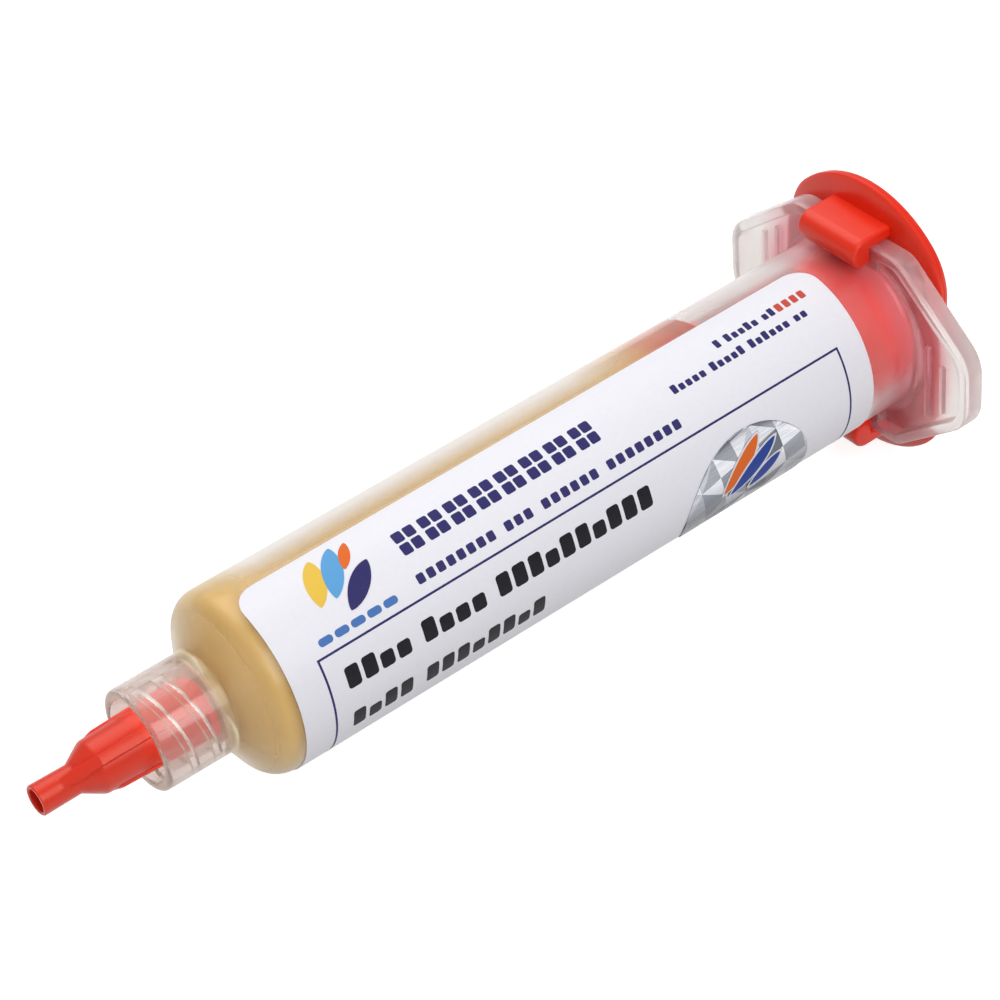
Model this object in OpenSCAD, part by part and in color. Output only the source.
// Pre-filled dispensing syringe for solder flux, lying on its side.
// The syringe's own axis runs along X: the nozzle points to -X and the winged flange is at the rear.
// Axial places are measured from a datum at the front end of the barrel's round wall.
// Angles round the axis are measured from +Z towards -Y.

/* [Barrel] */
// Outer radius of the barrel
barrel_r = 9.3; // [8:0.05:10.5]
// Wall thickness of the barrel
barrel_wall = 1.35; // [0.9:0.05:1.6]
// Rear plane of the barrel, measured from the datum
barrel_len = 76.5; // [74:0.5:100]
// Where the rounding of the shoulder starts
shoulder_start = 0.2; // [0:0.05:0.4]
// Rounding radius of the shoulder
shoulder_round = 2.3; // [1.5:0.1:2.6]
// Slope of the shoulder's cone, from the axis
shoulder_slope = 60.7; // [56:0.1:66]
// Rounding radius inside the shoulder
inner_round = 1.2; // [0.6:0.1:2]
// How far the inner rounding starts behind the outer one
inner_setback = 0.6; // [0.3:0.1:1.2]
// Slope of the cone inside the shoulder, from the axis
inner_slope = 66.2; // [60:0.1:72]

/* [Luer lock] */
// Outer radius of the lock collar
collar_r = 5.1; // [4.9:0.05:5.8]
// Wall thickness of the collar
collar_wall = 1; // [0.7:0.05:1.2]
// Mouth of the collar, ahead of the datum
collar_reach = 11.2; // [10.4:0.1:14]
// Depth of the collar's annular well
collar_depth = 7.1; // [6.4:0.1:7.4]
// Rounding of the collar's mouth
collar_mouth_round = 0.4; // [0.1:0.05:0.45]
// Radius of the nozzle at its tip
nozzle_tip_r = 1.99; // [1.9:0.01:2.1]
// Growth of the nozzle's radius per millimetre of length
nozzle_taper = 0.03; // [0.02:0.005:0.04]
// How far the nozzle stands out of the collar
nozzle_proud = 1; // [0.4:0.1:1.6]
// Radius of the bore through the nozzle
nozzle_bore_r = 1.1; // [0.8:0.05:1.3]

/* [Flange] */
// How far the wing tips stand off the barrel
wing_reach = 7.5; // [6.8:0.1:10]
// How far the clip flats stand off the barrel
clip_seat = 2; // [1.8:0.1:2.6]
// How far the slanted edges stand off the barrel
slant_gap = 4.1; // [3.8:0.1:4.6]
// Direction of the slanted edges' normal, from the wing's own direction
wing_slant_angle = 51; // [48:0.5:54]
// Corner radius at the wing tips
wing_tip_round = 4; // [3:0.1:4.5]
// Corner radius beside the clip flats
wing_side_round = 3; // [2:0.1:3.5]
// Depth of the flange along the axis
flange_depth = 2.43; // [2:0.05:4]
// Thickness of the pocket floor
flange_floor = 1.2; // [0.8:0.05:1.6]
// Thickness of the rim wall round each pocket
rim_wall = 1.1; // [0.8:0.05:1.4]
// How far the solid web under each clip is wider than the clip, on each side
web_margin = 0.65; // [0.3:0.05:1]
// Fillet between the barrel and the pocket floors
root_fillet = 1; // [0.4:0.05:1.1]
// Height of the ribs on the pocket floors
floor_rib_h = 0.45; // [0.2:0.05:0.7]
// Width of the ribs on the pocket floors
floor_rib_w = 0.55; // [0.3:0.05:0.8]
// Distance of the inner floor rib from the barrel
inner_rib_gap = 1.4; // [1.3:0.05:1.6]
// Length of the inner floor rib
inner_rib_len = 8.7; // [6:0.1:9]
// Distance of the outer floor rib from the barrel
outer_rib_gap = 3.4; // [2.6:0.1:3.6]
// Length of the outer floor rib
outer_rib_len = 5.8; // [4:0.1:6.5]
// How far the middles of the floor ribs lie off the wing's centre line
floor_rib_shift = 1.75; // [0:0.05:1.9]

/* [End cap] */
// How far the cap's plate reaches beyond each clip
plate_over_clip = 2.95; // [2.4:0.05:4]
// How far the plate's sides stand off the barrel
plate_side = 1.25; // [1.1:0.05:2.5]
// How much the radius of the plate's end arcs is larger than its half width
plate_end_swell = 1.25; // [0.4:0.05:4]
// Radius of the plate's four corners
plate_corner_r = 5.5; // [3:0.1:8]
// Thickness of the plate
plate_t = 1.5; // [1:0.05:2.5]
// Depth of the front step that marks the plate's parting line
plate_step_t = 0.85; // [0.3:0.05:0.9]
// How far the rear step stands in
plate_step = 0.18; // [0.05:0.01:0.4]
// Half width of each clip
clip_half_w = 4; // [3:0.05:4.1]
// Wall of the clip over the flange
clip_wall = 1.3; // [0.9:0.05:1.8]
// Depth of the clip's lip in front of the flange
clip_lip = 2.35; // [1.7:0.05:3]
// Clearance between the clip and the flange
clip_clear = 0.1; // [0.05:0.01:0.2]
// Radius of the clip's rounded front
clip_round = 1.6; // [0.8:0.05:1.6]
// How far the foot of the clip's lip stands behind the clip's front
clip_toe = 0.6; // [0.2:0.05:0.7]
// Clearance between the foot of the clip's lip and the barrel
lip_clear = 0.15; // [0.1:0.05:0.4]
// Length of the plug in the barrel's mouth
plug_len = 4.9; // [3:0.1:5.5]
// Wall of the hollow plug
plug_wall = 1.1; // [0.8:0.05:2]
// Clearance round the plug
plug_clear = 0.08; // [0.04:0.01:0.15]
// Bevel at the plug's front edge
plug_bevel = 0.5; // [0.2:0.05:0.7]

/* [Piston] */
// Front edge of the piston's front lip, ahead of the barrel's rear plane
piston_depth = 22; // [20:0.5:40]
// Width of the front lip
front_lip = 2.5; // [1.5:0.1:3.5]
// Width of the rear lip
rear_lip = 2; // [1:0.1:3]
// Distance between the two lips
waist_len = 8; // [6:0.1:9]
// Depth of the waist under the lips
waist_depth = 0.75; // [0.4:0.05:1]
// Length of the piston's cone
cone_len = 4.1; // [3:0.1:5]
// Radius where the cone meets the blunt nose
nose_r = 1.6; // [1.2:0.1:2.5]
// Height of the blunt nose
nose_len = 0.5; // [0.3:0.05:0.8]
// Wall between the piston's waist and the hollow in its rear
piston_wall = 1.15; // [0.8:0.05:1.5]
// Depth of the hollow in the piston's rear
piston_cup_depth = 9; // [5:0.1:10]
// Clearance between the piston and the bore
piston_clear = 0.05; // [0.03:0.01:0.1]

/* [Flux paste] */
// Clearance between the paste and the walls round it
paste_clear = 0.05; // [0.03:0.01:0.1]

/* [Tip cap] */
// Gap between the cap's hub and the floor of the collar's well
hub_gap = 0.4; // [0.3:0.05:1]
// Clearance between the cap's cone and the nozzle
cone_clear = 0.03; // [0.02:0.005:0.05]
// Gap between the nozzle's tip and the end of the cap's cone
cone_gap = 0.6; // [0.3:0.1:1]
// Radius of the hub at its rear
hub_rear_r = 3; // [2.9:0.05:3.2]
// Radius of the hub at its front
hub_front_r = 2.65; // [2.5:0.05:2.9]
// How far the hub reaches past the nozzle's tip
hub_end = 3.55; // [2.6:0.05:6]
// Length of the flare between the hub and the tube
flare_len = 2.05; // [1.6:0.05:3]
// Rounding of the hub's front edge
hub_round = 1; // [0.4:0.05:1.4]
// Fillet between the flare and the front tube
flare_fillet = 0.6; // [0.2:0.05:0.9]
// Radius of the front tube at its root
tube_root_r = 1.46; // [1.4:0.02:1.7]
// Radius of the front tube at its mouth
tube_mouth_r = 1.52; // [1.48:0.02:1.9]
// Length of the front tube
tube_len = 3.9; // [2:0.1:6]
// Radius of the hole in the front tube
tube_hole_r = 1.15; // [0.8:0.05:1.2]
// Depth of the hole in the front tube
tube_hole_depth = 4.6; // [2:0.1:5]
// Number of grip ribs, by turns long and short
grip_ribs = 4; // [2:1:6]
// Direction of the first grip rib round the axis
grip_rib_angle = 39.3; // [0:0.1:90]
// Width of the grip ribs
grip_rib_w = 0.8; // [0.4:0.05:1]
// How far the grip ribs stand out of the hub
grip_rib_h = 0.2; // [0.1:0.01:0.3]
// How far the long ribs reach along the tube
long_rib_reach = 0.15; // [0.05:0.05:1]
// How far the short ribs stop behind the hub's front edge
short_rib_gap = 1.05; // [0.4:0.05:2]
// Radius over the two lock lugs
lug_r = 3.5; // [3.3:0.02:3.56]
// Width of the lock lugs
lug_w = 2.6; // [1.6:0.1:3]
// Thickness of the lock lugs
lug_t = 0.9; // [0.5:0.05:1.2]
// Direction of the lock lugs round the axis
lug_angle = 84.3; // [0:0.1:180]

/* [Label] */
// Thickness of the paper label
label_t = 0.1; // [0.06:0.01:0.2]
// Glue gap under the label
glue_t = 0.02; // [0.01:0.01:0.05]
// Front edge of the label, behind the datum
label_front = 0.5; // [0.45:0.05:2]
// Gap between the label's rear edge and the flange
label_gap = 5.02; // [3:0.01:20]
// First edge of the label round the axis
label_from = -2; // [-20:0.5:20]
// Angle that the label wraps round the barrel
label_wrap = 308; // [280:1:330]
// Corner radius of the label
label_round = 2.5; // [0.5:0.1:4]

/* [Foil sticker] */
// Radius of the round foil sticker, measured along the label
foil_r = 7.8; // [4:0.1:9]
// Thickness of the foil
foil_t = 0.06; // [0.04:0.01:0.1]
// Middle of the sticker, ahead of the label's rear edge
foil_back = 16.25; // [9.5:0.05:50]
// Direction of the sticker's middle round the axis
foil_angle = 112.8; // [60:0.1:200]

/* [Hidden] */
$fn = 96;
arc_steps = 8;
edge_steps = 48;
// Overlap that keeps cuts and joined pieces from sharing a face
bite = 0.5;

// Barrel and lock collar
bore_r = barrel_r - barrel_wall;
mouth_x = -collar_reach;
well_x = mouth_x + collar_depth;
nozzle_x = mouth_x - nozzle_proud;
collar_in_r = collar_r - collar_wall;
round_r = barrel_r - shoulder_round;
cone_top_r = round_r + shoulder_round * cos(shoulder_slope);
cone_top_x = shoulder_start - shoulder_round * sin(shoulder_slope);
collar_root_x = cone_top_x - (cone_top_r - collar_r) / tan(shoulder_slope);
inner_x = shoulder_start + inner_setback;
inner_round_r = bore_r - inner_round;
inner_top_r = inner_round_r + inner_round * cos(inner_slope);
inner_top_x = inner_x - inner_round * sin(inner_slope);
throat_x = inner_top_x - (inner_top_r - nozzle_bore_r) / tan(inner_slope);

// Flange
wing_half_w = barrel_r + wing_reach;
wing_half_h = barrel_r + clip_seat;
wing_slant = barrel_r + slant_gap;
web_half_w = clip_half_w + web_margin;
inner_rib_at = barrel_r + inner_rib_gap;
outer_rib_at = barrel_r + outer_rib_gap;
flange_x = barrel_len - flange_depth;
floor_x = barrel_len - flange_floor;
slant_n = [cos(wing_slant_angle), sin(wing_slant_angle)];
tip_c = [wing_half_w - wing_tip_round,
         (wing_slant - wing_tip_round - (wing_half_w - wing_tip_round) * slant_n[0]) / slant_n[1]];
side_c = [(wing_slant - wing_side_round - (wing_half_h - wing_side_round) * slant_n[1]) / slant_n[0],
          wing_half_h - wing_side_round];

// End cap
clip_in = wing_half_h + clip_clear;
clip_out = clip_in + clip_wall;
plate_rear = barrel_len + plate_t;
plate_half_h = clip_out + plate_over_clip;
plate_half_w = barrel_r + plate_side;
plate_end_r = plate_half_w + plate_end_swell;
end_c = plate_half_h - plate_end_r;
corner_c = [plate_half_w - plate_corner_r,
            sqrt(pow(plate_end_r - plate_corner_r, 2) - pow(plate_half_w - plate_corner_r, 2)) + end_c];
lip_rear = flange_x - clip_clear;
clip_front = lip_rear - clip_lip;
clip_foot = barrel_r + lip_clear;
clip_root = barrel_len + plate_t / 2;
plug_r = bore_r - plug_clear;
plug_front = barrel_len - plug_len;

// Piston and paste
piston_at = barrel_len - piston_depth;
piston_r = bore_r - piston_clear;
waist_r = piston_r - waist_depth;
piston_cup_r = waist_r - piston_wall;
piston_rear = piston_at + front_lip + waist_len + rear_lip;
cone_x = piston_at - cone_len;
nose_x = cone_x - nose_len;
paste_r = bore_r - paste_clear;
paste_bore_r = nozzle_bore_r - paste_clear;

// Tip cap
hub_rear_x = well_x - hub_gap;
hub_front_x = nozzle_x - hub_end;
flare_x = hub_front_x - flare_len;
tube_x = flare_x - tube_len;
cone_end_x = nozzle_x - cone_gap;
hub_slope = (hub_rear_r - hub_front_r) / (hub_rear_x - hub_front_x);
flare_lean = atan2(hub_front_r - tube_root_r, flare_len);
fin_root_r = (tube_root_r + tube_hole_r) / 2;

// Label and sticker
label_in_r = barrel_r + glue_t;
label_r = label_in_r + label_t;
label_rear = flange_x - label_gap;
label_len = label_rear - label_front;
// How far the arcs of the label's corners cross its straight edges, so that none ends in a feather
corner_cross = 0.1;
foil_at = label_rear - foil_back;
foil_in_r = label_r + glue_t;
foil_out_r = foil_in_r + foil_t;

// Resting pose: the label's front edge and the plate's lower edge both touch the ground
rest_tilt = atan2(plate_half_h - label_r, barrel_len - label_front);
rest_h = label_r * cos(rest_tilt) - label_front * sin(rest_tilt);
front_end = tube_x * cos(rest_tilt) - tube_mouth_r * sin(rest_tilt);
rear_end = plate_rear * cos(rest_tilt) + (plate_half_h - plate_step) * sin(rest_tilt);
rest_x = (front_end + rear_end) / 2;

// Radius of the nozzle's outside at a place along the axis
function nozzle_r(x) = nozzle_tip_r + nozzle_taper * (x - nozzle_x);

// Points of an arc in a [radius, place] profile, from angle a to angle b
function arc(c, r, a, b) =
    [for (i = [0:arc_steps]) let (t = a + (b - a) * i / arc_steps) [c[0] + r * cos(t), c[1] + r * sin(t)]];

// Solid of revolution about the X axis from a [radius, place] profile
module turned(points) {
    rotate([0, 90, 0])
        rotate_extrude()
            polygon(points);
}

// Prism along X between two places, from a flat shape whose axes are Y and Z
module slab(from, to) {
    translate([from, 0, 0])
        rotate([90, 0, 90])
            linear_extrude(height = to - from)
                children();
}

// Syringe laid on the ground: nozzle low, flange wings level, clips up and down
module at_rest() {
    translate([-rest_x, 0, rest_h])
        rotate([0, -rest_tilt, 0])
            children();
}

// Four copies, one in each quarter of the flat shape
module quarters() {
    for (sx = [0, 1], sy = [0, 1])
        mirror([sx, 0])
            mirror([0, sy])
                children();
}

// Outline of the winged flange, drawn in by a given amount
module wing_outline(inset) {
    tip_r = wing_tip_round - inset;
    side_r = wing_side_round - inset;
    tip_p = tip_c + tip_r * slant_n;
    side_p = side_c + side_r * slant_n;
    quarters() {
        translate(tip_c)
            circle(r = tip_r);
        translate(side_c)
            circle(r = side_r);
        polygon([[0, 0], [tip_c[0] + tip_r, 0], [tip_c[0] + tip_r, tip_c[1]], tip_p,
                 side_p, [side_c[0], side_c[1] + side_r], [0, side_c[1] + side_r]]);
    }
}

// Pocket in one wing, open to the front
module wing_pocket() {
    difference() {
        wing_outline(rim_wall);
        circle(r = barrel_r);
        translate([-wing_half_w - web_half_w, -wing_half_h])
            square([wing_half_w + 2 * web_half_w, 2 * wing_half_h]);
    }
}

// Rib on the pocket floor of one wing
module floor_rib(at, len) {
    translate([floor_x - floor_rib_h, at - floor_rib_w / 2, floor_rib_shift - len / 2])
        cube([floor_rib_h + flange_floor / 2, floor_rib_w, len]);
}

module winged_flange() {
    difference() {
        slab(flange_x, barrel_len)
            difference() {
                wing_outline(0);
                circle(r = barrel_r - barrel_wall / 2);
            }
        for (turn = [0, 180])
            rotate([turn, 0, 0])
                slab(flange_x - bite, floor_x)
                    wing_pocket();
    }
    turned(concat([[barrel_r - barrel_wall / 2, floor_x - root_fillet], [barrel_r - barrel_wall / 2, floor_x]],
                  arc([barrel_r + root_fillet, floor_x - root_fillet], root_fillet, 90, 180)));
    for (turn = [0, 180])
        rotate([turn, 0, 0]) {
            floor_rib(inner_rib_at, inner_rib_len);
            floor_rib(outer_rib_at, outer_rib_len);
        }
}

// Tube, shoulder, lock collar and nozzle in one turned profile
module barrel_tube() {
    mouth_c = collar_mouth_round;
    turned(concat(
        [[bore_r, barrel_len], [barrel_r, barrel_len]],
        arc([round_r, shoulder_start], shoulder_round, 0, -shoulder_slope),
        [[collar_r, collar_root_x]],
        arc([collar_r - mouth_c, mouth_x + mouth_c], mouth_c, 0, -90),
        arc([collar_in_r + mouth_c, mouth_x + mouth_c], mouth_c, -90, -180),
        [[collar_in_r, well_x], [nozzle_r(well_x), well_x],
         [nozzle_tip_r, nozzle_x], [nozzle_bore_r, nozzle_x], [nozzle_bore_r, throat_x]],
        arc([inner_round_r, inner_x], inner_round, -inner_slope, 0)));
}

module barrel() {
    color("ghostwhite", 0.55)
        at_rest() {
            barrel_tube();
            winged_flange();
        }
}

// Straight-sided grip rib: a long one follows the flare down to the tube, a short one stays on the hub
module grip_rib(long) {
    bend = grip_rib_h * tan(flare_lean / 2);
    front = long ? flare_x - long_rib_reach : hub_front_x + short_rib_gap;
    rear = hub_rear_x - lug_t;
    over_flare = long
        ? [[front, fin_root_r], [front, tube_root_r + grip_rib_h], [flare_x - bend, tube_root_r + grip_rib_h],
           [hub_front_x - bend, hub_front_r + grip_rib_h]]
        : [[front, hub_front_r - bite], [front, hub_front_r + hub_slope * short_rib_gap + grip_rib_h]];
    rotate([90, 0, 0])
        translate([0, 0, -grip_rib_w / 2])
            linear_extrude(height = grip_rib_w)
                polygon(concat(over_flare,
                    [[rear, hub_rear_r - hub_slope * lug_t + grip_rib_h], [rear, hub_rear_r - bite],
                     [hub_front_x + hub_round, hub_front_r - bite]],
                    long ? [[flare_x, fin_root_r]] : []));
}

module tip_cap() {
    socket_r = nozzle_r(cone_end_x) + cone_clear;
    socket_mouth_r = nozzle_r(hub_rear_x) + cone_clear;
    color("tomato")
        at_rest() {
            turned(concat(
                [[0, cone_end_x], [socket_r, cone_end_x], [socket_mouth_r, hub_rear_x], [hub_rear_r, hub_rear_x]],
                arc([hub_front_r - hub_round, hub_front_x + hub_round * tan(flare_lean / 2)], hub_round, 0, -flare_lean),
                arc([tube_root_r + flare_fillet, flare_x - flare_fillet * tan(flare_lean / 2)], flare_fillet,
                    180 - flare_lean, 180),
                [[tube_mouth_r, tube_x], [tube_hole_r, tube_x],
                 [tube_hole_r, tube_x + tube_hole_depth], [0, tube_x + tube_hole_depth]]));
            for (i = [0:grip_ribs - 1])
                rotate([grip_rib_angle + i * 360 / grip_ribs, 0, 0])
                    grip_rib(i % 2 == 0);
            rotate([lug_angle, 0, 0])
                difference() {
                    slab(hub_rear_x - lug_t, hub_rear_x)
                        intersection() {
                            circle(r = lug_r);
                            square([lug_w, 2 * lug_r], center = true);
                        }
                    rotate([0, 90, 0])
                        cylinder(r = hub_rear_r - grip_rib_h, h = 2 * collar_reach, center = true);
                }
        }
}

// Outline of the end cap's plate, drawn in by a given amount
module plate_outline(inset) {
    end_r = plate_end_r - inset;
    corner_r = plate_corner_r - inset;
    lean = [corner_c[0], corner_c[1] - end_c] / (plate_end_r - plate_corner_r);
    top = [lean[0] * end_r, lean[1] * end_r + end_c];
    quarters() {
        translate(corner_c)
            circle(r = corner_r);
        polygon([[0, 0], [corner_c[0] + corner_r, 0], [corner_c[0] + corner_r, corner_c[1]],
                 corner_c, top, [0, top[1]]]);
    }
    for (side = [0, 1])
        mirror([0, side])
            intersection() {
                translate([0, end_c])
                    circle(r = end_r);
                translate([-top[0], 0])
                    square([2 * top[0], plate_half_h]);
            }
}

// One clip: a wall over the flange's flat, with a round-fronted lip that reaches down in front of it
module clip() {
    difference() {
        rotate([90, 0, 0])
            translate([0, 0, -clip_half_w])
                linear_extrude(height = 2 * clip_half_w)
                    union() {
                        translate([clip_front + clip_round, clip_out - clip_round])
                            circle(r = clip_round);
                        translate([clip_front + clip_toe, clip_foot])
                            square([clip_root - clip_front - clip_toe, clip_out - clip_round - clip_foot]);
                        translate([clip_front + clip_round, clip_foot])
                            square([clip_root - clip_front - clip_round, clip_out - clip_foot]);
                    }
        translate([lip_rear, -clip_half_w - bite, 0])
            cube([barrel_len - lip_rear, 2 * (clip_half_w + bite), clip_in]);
        translate([clip_front - bite, -clip_half_w - bite, 0])
            cube([barrel_len - clip_front + bite, 2 * (clip_half_w + bite), clip_foot]);
    }
}

module end_cap() {
    color("tomato")
        at_rest() {
            slab(barrel_len, barrel_len + plate_step_t)
                plate_outline(0);
            slab(barrel_len + plate_step_t - plate_step, plate_rear)
                plate_outline(plate_step);
            turned([[plug_r - plug_wall, barrel_len + plate_t / 2], [plug_r - plug_wall, plug_front],
                    [plug_r - plug_bevel, plug_front], [plug_r, plug_front + plug_bevel],
                    [plug_r, barrel_len + plate_t / 2]]);
            for (turn = [0, 180])
                rotate([turn, 0, 0])
                    clip();
        }
}

// Nose and cone of the piston's front face, set forward by a gap
function piston_face(gap) = [[0, nose_x - gap], [nose_r, cone_x - gap]];

module piston() {
    front_rear = piston_at + front_lip;
    waist_end = front_rear + waist_len;
    color("firebrick")
        at_rest()
            turned(concat(
                piston_face(0),
                [[piston_r, piston_at], [piston_r, front_rear], [waist_r, front_rear + waist_depth / 2],
                 [waist_r, waist_end - waist_depth], [piston_r, waist_end], [piston_r, piston_rear],
                 [piston_cup_r, piston_rear], [piston_cup_r, piston_rear - piston_cup_depth],
                 [0, piston_rear - piston_cup_depth]]));
}

module flux_paste() {
    fill_x = nozzle_x + paste_clear;
    color("wheat")
        at_rest()
            turned(concat(
                [[0, fill_x], [paste_bore_r, fill_x], [paste_bore_r, throat_x + paste_clear]],
                arc([inner_round_r, inner_x], inner_round - paste_clear, -inner_slope, 0),
                [[paste_r, piston_at - paste_clear], [nose_r, cone_x - paste_clear], [0, nose_x - paste_clear]]));
}

// Cuts a rounded corner of the label; the corner lies at an edge angle, turned inwards by way
module label_corner(x, along, edge, way) {
    inset = label_round - corner_cross;
    rotate([edge + way * asin(inset / label_in_r), 0, 0])
        translate([x + along * inset, 0, barrel_r / 2])
            linear_extrude(height = barrel_r)
                difference() {
                    translate([along > 0 ? -label_round - bite : 0, way > 0 ? 0 : -label_round - bite])
                        square(label_round + bite);
                    circle(r = label_round);
                }
}

module label() {
    color("white")
        at_rest()
            difference() {
                rotate([0, 90, 0])
                    rotate([0, 0, 180 + label_from])
                        rotate_extrude(angle = label_wrap)
                            translate([label_in_r, label_front])
                                square([label_t, label_len]);
                label_corner(label_front, 1, label_from, 1);
                label_corner(label_rear, -1, label_from, 1);
                label_corner(label_front, 1, label_from + label_wrap, -1);
                label_corner(label_rear, -1, label_from + label_wrap, -1);
            }
}

// A disc that is round when unrolled, so its outline narrows across the barrel
module foil_sticker() {
    color("silver")
        at_rest()
            intersection() {
                translate([foil_at - foil_r - bite, 0, 0])
                    rotate([0, 90, 0])
                        difference() {
                            cylinder(r = foil_out_r, h = 2 * (foil_r + bite));
                            translate([0, 0, -bite])
                                cylinder(r = foil_in_r, h = 2 * foil_r + 4 * bite);
                        }
                rotate([foil_angle, 0, 0])
                    translate([foil_at, 0, barrel_r / 4])
                        linear_extrude(height = barrel_r)
                            polygon([for (i = [0:edge_steps - 1])
                                let (t = 360 * i / edge_steps, turn = foil_r * sin(t) / foil_out_r * 180 / PI)
                                [foil_r * cos(t), foil_out_r * sin(turn)]]);
            }
}

barrel();
tip_cap();
end_cap();
piston();
flux_paste();
label();
foil_sticker();
